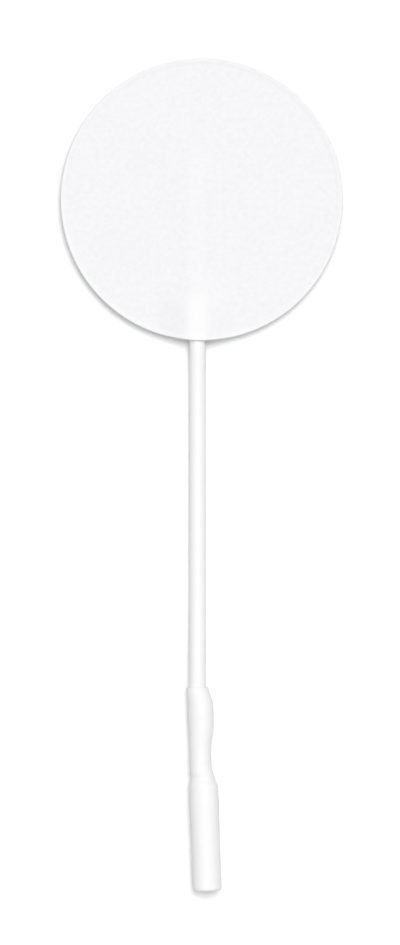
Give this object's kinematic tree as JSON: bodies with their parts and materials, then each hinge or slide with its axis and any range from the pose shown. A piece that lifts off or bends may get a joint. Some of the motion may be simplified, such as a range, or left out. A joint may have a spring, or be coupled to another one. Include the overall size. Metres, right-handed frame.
{
  "type": "electrotherapy electrode pad",
  "caption": "Round self-adhesive electrotherapy electrode, 32 mm across, with a short white pigtail lead that ends in a sleeved socket for a 2 mm pin.",
  "frame": {"origin": "centre of the round gel face that goes on the skin", "axes": "+Z out of the cloth side of the pad, away from the skin; -Y from the pad's centre towards the rim where the lead leaves"},
  "size_m": [0.032, 0.0944, 0.0034],
  "materials": {
    "backing": "matt",
    "film": "satin",
    "gel": "wet_gloss",
    "strand": "bright",
    "jacket": "satin",
    "contact": "plated",
    "sleeve": "satin"
  },
  "bodies": {
    "root": {"backing_cloth": "backing", "conductive_film": "film", "hydrogel": "gel", "strand_1": "strand", "strand_2": "strand", "strand_3": "strand", "strand_4": "strand", "strand_5": "strand", "strand_6": "strand", "strand_7": "strand", "lead_jacket": "jacket", "crimped_strands": "strand", "socket_contact": "contact", "sleeve": "sleeve"}
  },
  "joints": []
}
